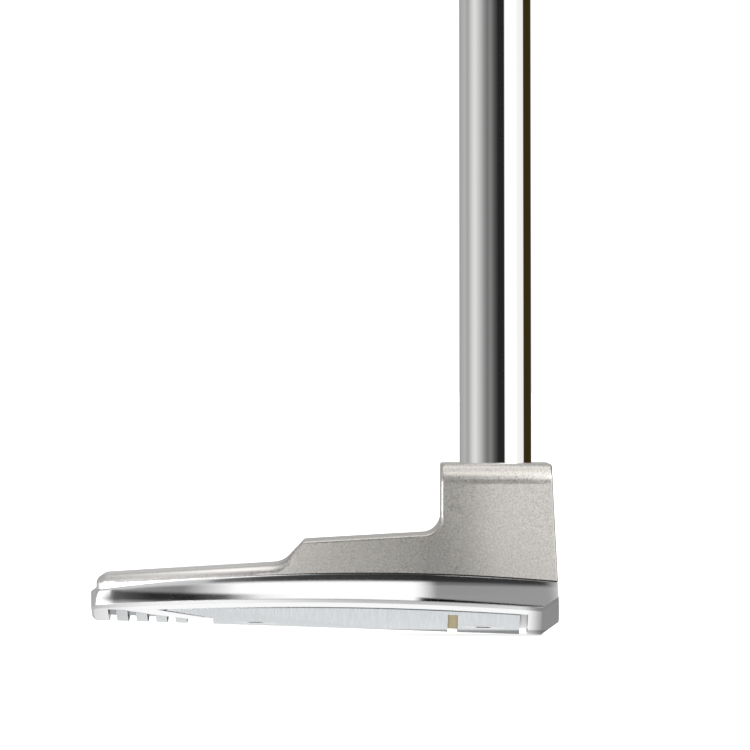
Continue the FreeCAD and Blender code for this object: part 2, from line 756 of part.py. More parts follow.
def oval(name, distance, half_width, half_depth, shift):
    """Ellipse across the shaft, its long axis towards the back."""
    item = doc.addObject("Part::Ellipse", name)
    item.MajorRadius = max(half_depth, half_width + 0.001)
    item.MinorRadius = half_width
    item.Placement = on_shaft(distance, shift).multiply(Placement(Vector(), Rotation(90, 0, 0)))
    return item


def loft(name, sections):
    item = doc.addObject("Part::Loft", name)
    item.Sections = sections
    item.Solid = True
    item.Ruled = False
    return item


thumb_flat = doc.addObject("Part::Box", "thumb_flat")
thumb_flat.Length = 2 * BEYOND
thumb_flat.Width = BEYOND
thumb_flat.Height = size("club_length")
thumb_flat.Placement = club_place.multiply(
    Placement(Vector(-BEYOND, size("grip_flat_y") - BEYOND, size("grip_start") / 2), Rotation()))

ovals = [oval(f"grip_oval{number}", *section) for number, section in enumerate(GRIP_SECTIONS, start=1)]
grip_blank = cut("grip_blank", loft("grip_loft", ovals), thumb_flat)
grip_bore = cylinder("grip_bore", "dims.shaft_butt_radius", 300, on_shaft(size("tape_end")))
tape_bore = cylinder("tape_bore", "dims.shaft_butt_radius + dims.tape_thick",
                     "dims.tape_end - dims.grip_start + 1", on_shaft(size("grip_start") - 1))
grip = cut("grip_moulded", grip_blank, grip_bore, tape_bore)

butt = GRIP_SECTIONS[-1]
cap_ovals = [oval("cap_oval1", *butt), oval("cap_oval2", size("club_length"), *butt[1:])]
cap_blank = cut("cap_blank", loft("cap_loft", cap_ovals), thumb_flat)
doc.recompute()
cap_end = club_place.multVec(Vector(0, 0, size("club_length")))
cap_rounded = fillet(
    "cap_rounded", cap_blank,
    (lambda edge: all(abs((edge.valueAt(end) - cap_end).dot(shaft_run)) < 0.02
                      for end in (edge.FirstParameter, edge.LastParameter)), size("cap_edge_radius")),
)
vent = cylinder("vent", "dims.vent_radius", 40, on_shaft(size("shaft_end") - 20))
grip_cap = cut("grip_cap_vented", cap_rounded, vent)

# ---------------------------------------------------------------------------------------------------------
# Names, checks and export
# ---------------------------------------------------------------------------------------------------------
NODES = {
    "head_body": head_body,
    "sole_frame": sole_frame,
    "sole_plate": sole_plate,
    "sole_damper": sole_damper,
    "rear_rib_plate": rear_rib_plate,
    "sole_plate_screws": group("sole_plate_screw_set", *screws["plate_screw"]),
    "frame_screws": group("frame_screw_set", *screws["frame_screw"]),
    "rear_plate_screws": group("rib_screw_set", *screws["rib_screw"]),
    "toe_weight": weights["toe_weight"],
    "heel_weight": weights["heel_weight"],
    "sight_line": sight_line,
    "shaft": shaft,
    "shaft_epoxy": shaft_epoxy,
    "shaft_tip_plug": shaft_tip_plug,
    "grip_tape": grip_tape,
    "grip": grip,
    "grip_cap": grip_cap,
}

for name, item in NODES.items():
    item.Label = name
doc.recompute()

for item in doc.Objects:
    if "Invalid" in item.State or "Error" in item.State:
        raise RuntimeError(f"{item.Name} failed: {item.State}")

for name, item in NODES.items():
    shape = item.Shape
    if shape.isNull() or not shape.isValid():
        raise RuntimeError(f"{name} has no valid shape")
    shape.exportStep(f"parts/{name}.step")
    print(f"{name:20s} solids {len(shape.Solids)}  volume {shape.Volume:10.1f} mm3")
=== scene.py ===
import json
import math

import bpy
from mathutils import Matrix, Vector
from mathutils.bvhtree import BVHTree

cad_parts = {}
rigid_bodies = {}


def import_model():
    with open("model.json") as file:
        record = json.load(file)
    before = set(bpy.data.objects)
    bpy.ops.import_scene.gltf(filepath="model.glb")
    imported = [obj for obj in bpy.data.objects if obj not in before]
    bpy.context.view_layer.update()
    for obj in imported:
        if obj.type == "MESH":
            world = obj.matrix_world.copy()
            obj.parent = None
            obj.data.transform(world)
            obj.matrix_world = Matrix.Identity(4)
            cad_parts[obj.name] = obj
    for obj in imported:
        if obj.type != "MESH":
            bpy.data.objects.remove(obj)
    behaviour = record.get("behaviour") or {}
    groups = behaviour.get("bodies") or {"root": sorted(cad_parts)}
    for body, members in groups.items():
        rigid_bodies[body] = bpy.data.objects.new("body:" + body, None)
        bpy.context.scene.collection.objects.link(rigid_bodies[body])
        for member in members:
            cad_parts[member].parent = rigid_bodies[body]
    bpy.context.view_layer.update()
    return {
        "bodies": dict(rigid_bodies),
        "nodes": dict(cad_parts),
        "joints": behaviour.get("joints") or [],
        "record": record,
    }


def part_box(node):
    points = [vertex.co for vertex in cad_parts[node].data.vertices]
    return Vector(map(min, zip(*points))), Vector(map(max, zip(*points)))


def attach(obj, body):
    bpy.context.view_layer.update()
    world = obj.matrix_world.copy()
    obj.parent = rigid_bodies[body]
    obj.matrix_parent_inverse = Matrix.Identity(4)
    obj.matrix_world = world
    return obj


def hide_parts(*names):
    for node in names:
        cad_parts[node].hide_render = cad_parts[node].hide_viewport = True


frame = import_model()
scene = bpy.context.scene
nodes = frame["nodes"]
MM = 0.001


# ---------------------------------------------------------------- node graphs

class Graph:
    """Short calls for making the nodes of one material or world."""

    def __init__(self, tree):
        self.tree = tree
        tree.nodes.clear()

    def node(self, kind, settings=None, **inputs):
        made = self.tree.nodes.new("ShaderNode" + kind)
        for key, setting in (settings or {}).items():
            setattr(made, key, setting)
        for key, given in inputs.items():
            self.feed(made, key.replace("_", " "), given)
        return made

    def feed(self, made, key, given):
        socket = made.inputs[int(key[1:])] if key[0] == "i" and key[1:].isdigit() else made.inputs[key]
        if isinstance(given, bpy.types.NodeSocket):
            self.tree.links.new(given, socket)
        else:
            socket.default_value = given

    def math(self, operation, first, second=0.0, third=0.0, clamp=False):
        made = self.node("Math", {"operation": operation, "use_clamp": clamp},
                         i0=first, i1=second, i2=third)
        return made.outputs[0]

    def mapped(self, given, low, high, to_low, to_high, kind="SMOOTHSTEP"):
        made = self.node("MapRange", {"interpolation_type": kind}, Value=given,
                         From_Min=low, From_Max=high, To_Min=to_low, To_Max=to_high)
        return made.outputs[0]

    def blend(self, share, first, second, kind="MIX"):
        made = self.node("Mix", {"data_type": "RGBA", "blend_type": kind})
        for key, given in (("Factor", share), ("A", first), ("B", second)):
            wanted = "VALUE" if key == "Factor" else "RGBA"
            socket = [s for s in made.inputs if s.name == key and s.type == wanted][0]
            if isinstance(given, bpy.types.NodeSocket):
                self.tree.links.new(given, socket)
            else:
                socket.default_value = given
        return [s for s in made.outputs if s.type == "RGBA"][0]

    def place(self, scale=(1, 1, 1), turn=(0, 0, 0)):
        where = self.node("TexCoord").outputs["Object"]
        return self.node("Mapping", Vector=where, Scale=scale, Rotation=turn).outputs[0]

    def noise(self, where, scale, detail=2.0, rough=0.5):
        made = self.node("TexNoise", Vector=where, Scale=scale, Detail=detail, Roughness=rough)
        return made.outputs[0]

    def bump(self, height, depth, strength=1.0, normal=None):
        made = self.node("Bump", Height=height, Distance=depth, Strength=strength)
        if normal is not None:
            self.feed(made, "Normal", normal)
        return made.outputs[0]

    def painted_crevice_shade(self, base, reach, left):
        """The base colour and its edge tint, with painted shade: both darkened by ambient occlusion in
        grooves and inner corners.
        """
        # Painted shade: ambient occlusion within the reach darkens the colour, down to the share left in the
        # most closed recesses.
        openness = self.node("AmbientOcclusion", {"samples": 6}, Distance=reach).outputs["AO"]
        share = self.mapped(openness, 0.5, 0.95, left, 1.0)
        painted_shade_tint = self.node("CombineColor", i0=share, i1=share, i2=share).outputs[0]
        return self.blend(1.0, base, painted_shade_tint, "MULTIPLY"), painted_shade_tint

    def surface(self, **inputs):
        shader = self.node("BsdfPrincipled", **inputs)
        output = self.node("OutputMaterial")
        self.tree.links.new(shader.outputs[0], output.inputs["Surface"])
        return shader


def material(name):
    made = bpy.data.materials.new(name)
    made.use_nodes = True
    return made, Graph(made.node_tree)


def colour(red, green, blue):
    """An sRGB colour, 0 to 255, as the linear numbers that shaders take."""
    def linear(part):
        share = part / 255
        return share / 12.92 if share <= 0.04045 else ((share + 0.055) / 1.055) ** 2.4
    return (linear(red), linear(green), linear(blue), 1.0)


def paint(node, made):
    obj = nodes[node]
    for index in range(len(obj.material_slots)):
        obj.material_slots[index].material = made


# ---------------------------------------------------------------- materials

def blasted_steel():
    """Bead-blasted stainless steel: a matte, even, finely dimpled grain, with painted light making it a
    little brighter at the rear.
    """
    made, g = material("blasted_steel")
    where = g.place()
    dimples = g.noise(where, 3600, 2.0, 0.6)
    specks = g.noise(where, 7200, 1.0)
    clouds = g.noise(where, 90, 2.0)
    grain = g.math("ADD", g.math("MULTIPLY", dimples, 0.65), g.math("MULTIPLY", specks, 0.35))
    tone = g.mapped(grain, 0.34, 0.66, 0.0, 1.0, "LINEAR")
    base = g.blend(tone, colour(187, 184, 179), colour(227, 224, 219))
    base = g.blend(g.mapped(clouds, 0.3, 0.7, 0.0, 0.25), base, colour(208, 205, 199))
    # Painted light: the base colour is blended up to 80% towards near-white between x = -26 mm and x = -34
    # mm, standing in for the brighter light on the rear walls.
    along = g.node("SeparateXYZ", Vector=where).outputs[0]
    base = g.blend(g.mapped(along, -26 * MM, -34 * MM, 0.0, 0.8), base, colour(245, 243, 241))
    rough = g.mapped(dimples, 0.25, 0.75, 0.25, 0.37, "LINEAR")
    normal = g.bump(grain, 0.006 * MM, 0.7)
    g.surface(Base_Color=base, Metallic=1.0, Roughness=rough, Normal=normal)
    return made


def polished_steel():
    """Mirror-polished stainless steel with the faint hairlines of its last buffing."""
    made, g = material("polished_steel")
    lines = g.noise(g.place((1, 0.06, 1), (0.0, 0.0, 0.4)), 5200, 2.0)
    haze = g.noise(g.place(), 60, 2.0)
    rough = g.math("ADD", g.mapped(lines, 0.35, 0.75, 0.035, 0.075),
                   g.mapped(haze, 0.4, 0.8, 0.0, 0.02))
    soft_edge = g.node("Bevel", {"samples": 6}, Radius=0.16 * MM).outputs[0]
    normal = g.bump(lines, 0.0006 * MM, 0.5, soft_edge)
    # Painted shade: the polish's base colour and specular tint darken in grooves and inner corners, by
    # ambient occlusion.
    base, painted_shade_tint = g.painted_crevice_shade(colour(243, 243, 244), 0.9 * MM, 0.2)
    g.surface(Base_Color=base, Metallic=1.0, Roughness=rough, Specular_Tint=painted_shade_tint, Normal=normal)
    return made


def brushed_aluminium():
    """Bright aluminium brushed from heel to toe."""
    made, g = material("brushed_aluminium")
    fine = g.noise(g.place((1, 0.01, 0.01)), 7000, 3.0, 0.6)
    broad = g.noise(g.place((1, 0.02, 0.02)), 1400, 2.0)
    streaks = g.math("ADD", g.math("MULTIPLY", fine, 0.7), g.math("MULTIPLY", broad, 0.3))
    base = g.blend(g.mapped(streaks, 0.35, 0.65, 0.0, 1.0),
                   colour(176, 181, 184), colour(208, 213, 217))
    # Painted shade: the aluminium's base colour and specular tint darken in grooves and inner corners, by
    # ambient occlusion.
    base, painted_shade_tint = g.painted_crevice_shade(base, 0.9 * MM, 0.35)
    rough = g.mapped(streaks, 0.3, 0.7, 0.22, 0.36, "LINEAR")
    normal = g.bump(streaks, 0.006 * MM, 0.8)
    g.surface(Base_Color=base, Metallic=1.0, Roughness=rough, Specular_Tint=painted_shade_tint, Normal=normal)
    return made


def damper_polymer():
    """Tan elastomer, slightly mottled and satin."""
    made, g = material("damper_polymer")
    mottle = g.noise(g.place(), 700, 3.0)
    base = g.blend(g.mapped(mottle, 0.3, 0.7, 0.0, 1.0), colour(150, 130, 66), colour(170, 150, 84))
    normal = g.bump(g.noise(g.place(), 4000, 2.0), 0.02 * MM, 0.6)
    g.surface(Base_Color=base, Roughness=0.48, Normal=normal, Subsurface_Weight=0.08,
              Subsurface_Radius=(0.8 * MM, 0.6 * MM, 0.3 * MM))
    return made


def screw_steel():
    """Turned stainless steel: fine rings left by the lathe."""
    made, g = material("screw_steel")
    grain = g.noise(g.place(), 4200, 2.0)
    rough = g.mapped(grain, 0.3, 0.7, 0.16, 0.3)
    g.surface(Base_Color=colour(205, 206, 208), Metallic=1.0, Roughness=rough,
              Normal=g.bump(grain, 0.004 * MM, 0.6))
    return made


def tungsten():
    """Sintered tungsten: darker, dull and slightly grainy."""
    made, g = material("tungsten")
    grain = g.noise(g.place(), 2500, 3.0)
    base = g.blend(grain, colour(112, 112, 116), colour(150, 150, 152))
    g.surface(Base_Color=base, Metallic=1.0, Roughness=g.mapped(grain, 0.3, 0.7, 0.38, 0.55),
              Normal=g.bump(grain, 0.02 * MM, 0.7))
    return made


def sight_paint():
    """Black enamel that levelled in its groove."""
    made, g = material("sight_paint")
    flow = g.noise(g.place(), 500, 2.0)
    base = g.blend(flow, colour(14, 14, 15), colour(26, 26, 27))
    g.surface(Base_Color=base, Roughness=g.mapped(flow, 0.3, 0.7, 0.22, 0.36),
              Normal=g.bump(flow, 0.02 * MM, 0.5))
    return made


def shaft_chrome():
    """Bright chrome plate with the slightest orange peel and a few polishing lines."""
    made, g = material("shaft_chrome")
    peel = g.noise(g.place(), 700, 1.0)
    lines = g.noise(g.place((1, 1, 0.05)), 4000, 2.0)
    rough = g.mapped(lines, 0.35, 0.8, 0.015, 0.045)
    g.surface(Base_Color=colour(247, 247, 246), Metallic=1.0, Roughness=rough,
              Normal=g.bump(peel, 0.0002 * MM, 0.4))
    return made


def epoxy():
    """Amber-grey epoxy squeezed out as a thin bond line."""
    made, g = material("epoxy")
    flow = g.noise(g.place(), 900, 2.0)
    base = g.blend(flow, colour(120, 112, 92), colour(150, 142, 118))
    g.surface(Base_Color=base, Roughness=g.mapped(flow, 0.3, 0.7, 0.2, 0.35))
    return made


def plug_plastic():
    """Dark grey moulded plastic."""
    made, g = material("plug_plastic")
    grain = g.noise(g.place(), 1800, 2.0)
    g.surface(Base_Color=g.blend(grain, colour(40, 40, 42), colour(58, 58, 60)), Roughness=0.5,
              Normal=g.bump(grain, 0.02 * MM, 0.5))
    return made


def tape():
    """Creased paper tape."""
    made, g = material("tape")
    crease = g.noise(g.place((1, 1, 0.3)), 420, 4.0)
    base = g.blend(crease, colour(206, 196, 170), colour(232, 224, 202))
    g.surface(Base_Color=base, Roughness=0.8, Normal=g.bump(crease, 0.05 * MM, 0.7))
    return made


def grip_rubber():
    """Matte black rubber with a fine moulded skin."""
    made, g = material("grip_rubber")
    pores = g.noise(g.place(), 2600, 3.0, 0.6)
    dust = g.noise(g.place(), 45, 3.0)
    base = g.blend(g.mapped(dust, 0.35, 0.75, 0.0, 1.0), colour(30, 30, 31), colour(44, 44, 45))
    g.surface(Base_Color=base, Roughness=g.mapped(pores, 0.3, 0.7, 0.55, 0.72, "LINEAR"),
              Normal=g.bump(pores, 0.05 * MM, 0.8))
    return made


def cap_rubber():
    """Harder black rubber, a little smoother than the grip's."""
    made, g = material("cap_rubber")
    pores = g.noise(g.place(), 3200, 2.0)
    g.surface(Base_Color=g.blend(pores, colour(24, 24, 25), colour(34, 34, 35)),
              Roughness=g.mapped(pores, 0.3, 0.7, 0.4, 0.52), Normal=g.bump(pores, 0.03 * MM, 0.7))
    return made


FINISHES = {make.__name__: make() for make in (
    blasted_steel, polished_steel, brushed_aluminium, damper_polymer, screw_steel, tungsten,
    sight_paint, shaft_chrome, epoxy, plug_plastic, tape, grip_rubber, cap_rubber)}
for node in nodes:
    paint(node, FINISHES[nodes[node].material_slots[0].material.name.split(".")[0]])


# ---------------------------------------------------------------- shaft and grip

LEAN = math.radians(20)                             # the shaft leans this far to the heel
ALONG = Vector((0, math.sin(LEAN), math.cos(LEAN)))
ACROSS = Vector((1, 0, 0))
BACK = Vector((0, math.cos(LEAN), -math.sin(LEAN)))  # away from the thumbs
FOOT = Vector((0, -8 * MM * math.tan(LEAN), 0))      # where the shaft's axis meets the ground

# Distances up the shaft from FOOT and diameters, in millimetres
SHAFT_TIP, SHAFT_BUTT = 8.0, 860.0
TIP_RADIUS, BUTT_RADIUS, SHAFT_WALL = 4.7, 7.35, 0.5
STEPS, FIRST_STEP, STEP_PITCH, STEP_ROLL = 12, 250, 28, 1.0
GRIP_FOOT, GRIP_TOP, GRIP_BORE_RADIUS = 596.6, 860.0, 7.66


def on_club(distance, angle, radius):
    """Place at a distance up the shaft, at an angle round it from the thumbs' side, all in metres."""
    return FOOT + ALONG * distance + (ACROSS * math.sin(angle) - BACK * math.cos(angle)) * radius


def skin(name, rings, finish, node):
    """A closed piece made of rings of the same number of points, the last joined to the first."""
    count = len(rings[0])
    points = [point for ring in rings for point in ring]
    faces = []
    for level in range(len(rings)):
        here, there = level * count, (level + 1) % len(rings) * count
        faces += [(here + i, here + (i + 1) % count, there + (i + 1) % count, there + i)
                  for i in range(count)]
    mesh = bpy.data.meshes.new(name)
    mesh.from_pydata(points, [], faces)
    mesh.materials.append(finish)
    mesh.polygons.foreach_set("use_smooth", [True] * len(faces))
    mesh.validate()
    piece = bpy.data.objects.new(name, mesh)
    scene.collection.objects.link(piece)
    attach(piece, "root")
    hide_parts(node)
    return piece


def ease(share):
    share = min(1.0, max(0.0, share))
    return share * share * (3 - 2 * share)


def shaft_radius(distance):
    """Outer radius in millimetres: a parallel tip, then twelve small steps rolled into each other."""
    rise = (BUTT_RADIUS - TIP_RADIUS) / STEPS
    return TIP_RADIUS + sum(rise * ease((distance - FIRST_STEP - number * STEP_PITCH) / STEP_ROLL)
                            for number in range(STEPS))


def shaft_piece():
    """The stepped tube, with its stations close together where a step rolls into the next."""
    sections, parts = 144, 8
    stations = [SHAFT_TIP, SHAFT_TIP + 0.2, 30.0, 120.0, FIRST_STEP - 1.0]
    for number in range(STEPS):
        step = FIRST_STEP + STEP_PITCH * number
        stations += [step + STEP_ROLL * part / parts for part in range(parts + 1)]
        stations += [step + 2.0, step + STEP_PITCH / 2, step + STEP_PITCH - 1.0]
    stations += [620.0, 740.0, SHAFT_BUTT - 0.2, SHAFT_BUTT]
    radii = [(distance, shaft_radius(distance)) for distance in stations]
    section = radii + [(distance, radius - SHAFT_WALL) for distance, radius in reversed(radii)]
    rings = [[on_club(distance * MM, 2 * math.pi * i / sections, radius * MM) for i in range(sections)]
             for distance, radius in section]
    return skin("shaft_stepped", rings, FINISHES["shaft_chrome"], "shaft")


def groove(value, pitch, width):
    """1 in the middle of a groove, 0 on the land between two grooves."""
    off = abs((value / pitch) % 1 - 0.5) * pitch
    return 1 - ease(off / (width / 2))


def grip_relief(distance, side, around, radius):
    """How far the moulding is sunk, in millimetres, for a place on the grip's outer skin."""
    from_foot, from_top = distance - GRIP_FOOT, GRIP_TOP - distance
    rings = max(groove(from_foot - 6.5, 40, 1.3) if from_foot < 12 else 0,
                groove(6.5 - from_top, 40, 1.3) if from_top < 12 else 0)
    sunk = 0.45 * rings
    fade = ease((from_foot - 11) / 2) * ease((from_top - 11) / 2)
    thumb_flat = abs(around) < 1.15
    if thumb_flat:
        panel = ease((5.6 - abs(side)) / 0.5)
        ribs = 0.32 * groove(distance, 2.6, 1.2)
        frame = 0.25 * (1 - ease(abs(abs(side) - 6.6) / 0.5))
        sunk = max(sunk, fade * max(panel * ribs, frame))
    else:
        run = abs(around) * radius
        panel = ease((abs(around) - 1.3) / 0.12)
        weave = 0.30 * max(groove(distance + run, 4.4, 1.1), groove(distance - run, 4.4, 1.1))
        sunk = max(sunk, fade * panel * weave)
    return sunk


def grip_piece():
    """The moulded grip: ribbed thumb flat, diamond-cut back, plain ring-grooved ends."""
    cad = nodes["grip"].data
    tree = BVHTree.FromPolygons([v.co for v in cad.vertices], [p.vertices for p in cad.polygons])
    sections, pitch, inset = 180, 0.42, 0.05
    lip, lip_depth = 1.1, 0.9
    count = round((GRIP_TOP - GRIP_FOOT) / pitch)
    rings = []
    for number in range(count + 1):
        distance = GRIP_FOOT + (GRIP_TOP - GRIP_FOOT) * number / count
        probe = min(max(distance, GRIP_FOOT + inset), GRIP_TOP - inset)
        middle = FOOT + ALONG * probe * MM
        down = max(0.0, lip - (distance - GRIP_FOOT)) / lip
        ring = []
        for i in range(sections):
            angle = 2 * math.pi * i / sections
            ray = ACROSS * math.sin(angle) - BACK * math.cos(angle)
            hit = tree.ray_cast(middle + ray * 30 * MM, -ray)[0]
            radius = (hit - middle).dot(ray) / MM
            turned = (angle + math.pi) % (2 * math.pi) - math.pi
            radius -= grip_relief(distance, radius * math.sin(angle), turned, radius)
            radius -= lip_depth * (1 - math.sqrt(max(0.0, 1 - down * down)))
            ring.append(on_club(distance * MM, angle, radius * MM))
        rings.append(ring)
    for distance in (GRIP_TOP, GRIP_FOOT):
        rings.append([on_club(distance * MM, 2 * math.pi * i / sections, GRIP_BORE_RADIUS * MM)
                      for i in range(sections)])
    return skin("grip_moulded", rings, FINISHES["grip_rubber"], "grip")


# ---------------------------------------------------------------- polished frame

# The frame's toe and heel walls: arcs in plan, crowned like a barrel from a waist near the ground
SIDE_RADIUS, CROWN_RADIUS, WAIST = 60.3 * MM, 20 * MM, 3.8 * MM
SIDE_CENTRE_X, SIDE_CENTRE_Y = -11.3 * MM, 10.8 * MM
REAR_CORNER = 3.6 * MM


def crowned_wall(place):
    """Nearest place on the frame's barrel-shaped side wall, and the wall's outward normal there."""
    centre = Vector((SIDE_CENTRE_X, math.copysign(SIDE_CENTRE_Y, -place.y), 0))
    out = Vector((place.x - centre.x, place.y - centre.y, 0)).normalized()
    rise = place.z - WAIST
    run = math.sqrt(CROWN_RADIUS ** 2 - rise ** 2)
    wall = centre + out * (SIDE_RADIUS - CROWN_RADIUS + run)
    wall.z = place.z
    return wall, (out * run + Vector((0, 0, rise))).normalized()


def frame_piece():
    """The frame with its crowned side walls divided finely, so that the polish mirrors without facets."""
    cad = nodes["sole_frame"].data
    low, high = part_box("sole_frame")
    spots = [v.co.copy() for v in cad.vertices]
    normals = [c.vector.copy() for c in cad.corner_normals]
    same_place = 0.0005 * MM
    keys = [tuple(round(c / same_place) for c in spot) for spot in spots]
    index = {key: number for number, key in reversed(list(enumerate(keys)))}
    ids = [index[key] for key in keys]

    def on_wall(corner, place):
        """Whether a face's corner lies on the crowned wall and leans as the wall does."""
        if place.x < low.x + REAR_CORNER:
            return False
        wall, normal = crowned_wall(place)
        return (wall - place).length < 0.02 * MM and normal.dot(normals[corner]) > 0.9995

    walls, others = [], []
    for polygon in cad.polygons:
        corners = list(polygon.loop_indices)
        places = [spots[cad.loops[corner].vertex_index] for corner in corners]
        kind = walls if all(map(on_wall, corners, places)) else others
        kind.append([(ids[cad.loops[corner].vertex_index], normals[corner]) for corner in corners])

    uses = {}
    for face in walls:
        for (a, _), (b, _) in zip(face, face[1:] + face[:1]):
            uses[frozenset((a, b))] = uses.get(frozenset((a, b)), 0) + 1
    steps = 6
    split = {}

    def along(a, b):
        """The points that divide an edge of the wall, made once for both of its faces."""
        key = frozenset((a, b))
        if key not in split:
            first, last = min(a, b), max(a, b)
            made = []
            for step in range(1, steps):
                place = spots[first].lerp(spots[last], step / steps)
                if uses[key] > 1:
                    place = crowned_wall(place)[0]
                spots.append(place)
                made.append(len(spots) - 1)
            split[key] = made
        return split[key] if a < b else split[key][::-1]

    faces, corner_normals = [], []
    for face in walls:
        (a, _), (b, _), (c, _) = face
        sides = along(a, b), along(a, c), along(b, c)
        rows = [[a]]
        for level in range(1, steps):
            left, right = sides[0][level - 1], sides[1][level - 1]
            row = [left]
            for step in range(1, level):
                place = crowned_wall(spots[left].lerp(spots[right], step / level))[0]
                spots.append(place)
                row.append(len(spots) - 1)
            rows.append(row + [right])
        rows.append([b] + sides[2] + [c])
        for upper, lower in zip(rows, rows[1:]):
            for i in range(len(upper)):
                faces.append((upper[i], lower[i], lower[i + 1]))
                if i:
                    faces.append((upper[i - 1], lower[i], upper[i]))
    for face in faces:
        corner_normals += [crowned_wall(spots[number])[1] for number in face]
    for face in others:
        ring = []
        for (a, normal_a), (b, normal_b) in zip(face, face[1:] + face[:1]):
            ring.append(a)
            corner_normals.append(normal_a)
            if frozenset((a, b)) in split:
                for step, number in enumerate(along(a, b), start=1):
                    ring.append(number)
                    corner_normals.append(normal_a.lerp(normal_b, step / steps).normalized())
        faces.append(ring)
    for spot in spots:
        spot.y = min(max(spot.y, low.y), high.y)
    mesh = bpy.data.meshes.new("sole_frame_polished")
    mesh.from_pydata(spots, [], faces)
    mesh.materials.append(FINISHES["polished_steel"])
    mesh.polygons.foreach_set("use_smooth", [True] * len(faces))
    mesh.normals_split_custom_set(corner_normals)
    piece = bpy.data.objects.new("sole_frame_polished", mesh)
    scene.collection.objects.link(piece)
    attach(piece, "root")
    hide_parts("sole_frame")
    return piece


frame_piece()
shaft_piece()
grip_piece()


# ---------------------------------------------------------------- studio

def studio():
    """A white room for the camera; for reflections, large soft panels and dark flags all round.

    The room is a stack of rings, one above the other. Each gives the brightness all round at its height,
    and each blends into the next. Two of the seams are bowed: highest on the toe's side, lower beyond."""
    world = bpy.data.worlds.new("studio")
    scene.world = world
    world.use_nodes = True
    g = Graph(world.node_tree)
    towards = g.node("SeparateXYZ", Vector=g.node("TexCoord").outputs["Generated"])
    x, y, z = towards.outputs
    around = g.math("MULTIPLY", g.math("ARCTAN2", x, y), 180 / math.pi)
    height = g.math("MULTIPLY", g.math("ARCSINE", z), 180 / math.pi)

    def ring(*stops):
        """Brightness all round the room at one height: (degrees from straight behind the head, colour)."""
        ramp = g.node("ValToRGB", Fac=g.mapped(around, -180, 180, 0, 1, "LINEAR"))
        marks = ramp.color_ramp.elements
        marks[0].position, marks[1].position = 0, 1
        for number, (degrees, shade) in enumerate(stops):
            spot = (degrees + 180) / 360
            mark = marks[number] if number < 1 else marks.new(spot)
            mark.position = spot
            mark.color = colour(*shade) if isinstance(shade, tuple) else colour(shade, shade, shade)
        marks[-1].color = marks[0].color
        return ramp.outputs[0]

    brown = (52, 42, 20)
    left = ((-104, 217), (-92.8, 205), (-84.8, 184), (-74, 157), (-70.5, 400), (-48, 330), (-36, 236),
            (-25, 200), (-15, 130))
    right = ((12, 200), (22, brown), (71.3, brown), (72.8, 232), (80, 236), (96, 240), (108, 262),
             (138, 262), (144, 150))
    front = ((-180, 255), (-152, 255))
    horizon = ring(*front, (-144, 150), (-128, 130), (-118, 140), (-101, 165), (-95, 420), (-74, 420),
                   *left[5:], *right, (173, 150), (178, 255))
    low = ring(*front, (-143, 240), (-133, 90), (-124, 36), (-112, 40), (-100, 90), (-94, 420),
               (-74, 420), *left[5:], *right, (173, 150), (178, 255))
    middle = ring((-180, 255), (-136, 255), (-131, 220), (-121, 130), (-100, 140), (-94, 205), *left[2:],
                  *right, (173, 145), (178, 255))
    brow = ring((-180, 255), (-136, 255), (-130, 235), (-125, 195), *left[:4], (-60, 175), (-15, 150),
                *right[:-1], (144, 112), (173, 110), (178, 255))
    upper = ring((-180, 50), (-153, 60), (-143, 68), (-134, 105), (-130, 116), (-126, 190), *left[:4],
                 (-60, 175), (-15, 150), *right[:-1], (145, 56), (175, 44))
    high = ring((-180, 72), (-176, 84), (-160.6, 126), (-149, 120), (-137.7, 138), (-122.9, 182),
                (-104, 217), (-74, 160), (74, 170), (96, 240), (108, 500), (132, 500), (138, 290),
                (146, 300), (166, 300), (174, 90))
    stripe = ring((-180, 72), (-176, 84), (-160.6, 126), (-149, 111), (-137.7, 138), (-122.9, 182),
                  (-104, 217), (-74, 160), (74, 170), (96, 240), (108, 500), (132, 500), (138, 262),
                  (143.6, 240), (145.4, 36), (168, 35))
    ceiling = ring((-180, 90), (-152, 90), (-144, 190), (-115, 220), (-80, 205), (80, 205), (100, 285),
                   (164, 280), (173, 90))
    toe_x, toe_y, level, bow_height = -0.1736, -0.985, 0.945, 15.8
    facing = g.math("ADD", g.math("MULTIPLY", x, toe_x / level), g.math("MULTIPLY", y, toe_y / level))
    bow = g.math("MULTIPLY", g.math("SUBTRACT", 1, facing), bow_height)
    bowed = g.math("ADD", height, bow)
    half_bowed = g.math("ADD", height, g.math("MULTIPLY", bow, 0.5))
    skirting = g.math("SUBTRACT", height, g.math("MULTIPLY", g.math("SUBTRACT", around, 152), 0.215))
    skirting = g.math("MULTIPLY", g.mapped(skirting, 1.9, 2.4, 1, 0),
                      g.math("MULTIPLY", g.mapped(around, 176, 179, 1, 0), g.mapped(around, 138, 146, 0, 1)))
    panels = g.blend(g.mapped(height, 2.5, 5.0, 0, 1), horizon, low)
    panels = g.blend(g.mapped(height, 8.0, 10.3, 0, 1), panels, middle)
    panels = g.blend(g.mapped(half_bowed, 15.8, 17.8, 0, 1), panels, brow)
    panels = g.blend(g.mapped(bowed, 18.5, 20.9, 0, 1), panels, upper)
    panels = g.blend(skirting, panels, colour(3, 3, 3))
    panels = g.blend(g.mapped(height, 26.0, 29.0, 0, 1), panels, high)
    panels = g.blend(g.mapped(height, 34.0, 36.0, 0, 1), panels, stripe)
    panels = g.blend(g.mapped(height, 41.5, 44.5, 0, 1), panels, ceiling)
    panels = g.blend(g.mapped(height, 54.0, 60.0, 0, 1), panels, colour(282, 281, 279))
    panels = g.blend(g.mapped(height, 68.0, 76.0, 0, 1), panels, colour(232, 231, 229))
    seen = g.node("LightPath").outputs["Is Camera Ray"]
    shown = g.blend(seen, panels, (1.0, 1.0, 1.0, 1.0))
    lit = g.node("Background", Color=shown, Strength=1.12)
    output = g.node("OutputWorld")
    g.tree.links.new(lit.outputs[0], output.inputs["Surface"])


